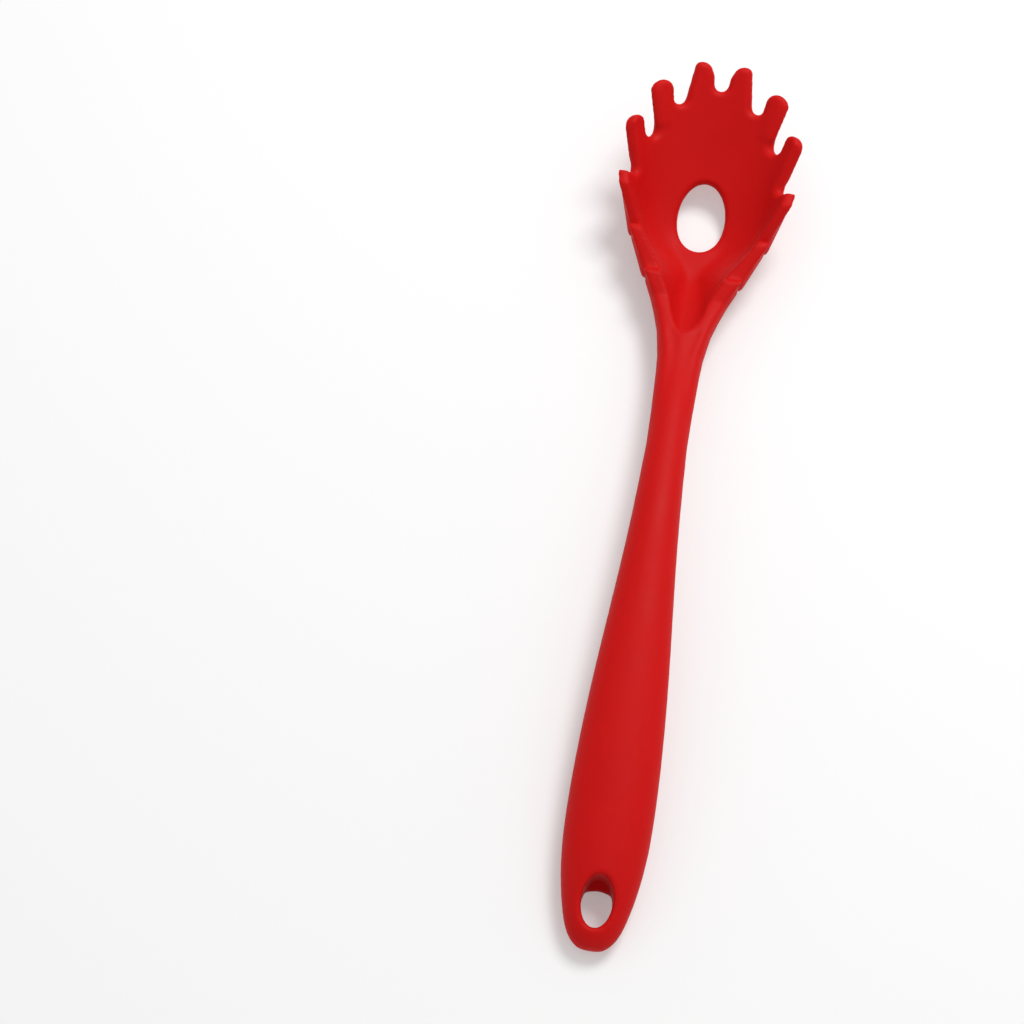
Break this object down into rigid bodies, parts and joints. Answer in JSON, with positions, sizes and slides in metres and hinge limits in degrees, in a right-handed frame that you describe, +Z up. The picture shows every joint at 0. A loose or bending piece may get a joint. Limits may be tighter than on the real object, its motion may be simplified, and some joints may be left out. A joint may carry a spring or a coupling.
{
  "type": "pasta server",
  "caption": "Silicone pasta server: a deep bowl with a toothed rim and a drain hole, on a long curved handle with a hanging hole.",
  "frame": {"origin": "on the table under the middle of the object's box, with the server lying bowl up", "axes": "+Y along the server from the handle's end to the tines, +Z up out of the bowl's mouth, +X to the right across the bowl"},
  "size_m": [0.0572, 0.285, 0.0301],
  "materials": {
    "silicone": "matt moulded silicone",
    "nylon": "moulded, glass filled"
  },
  "bodies": {
    "root": {"silicone_body": "silicone", "nylon_core": "nylon"}
  },
  "joints": []
}
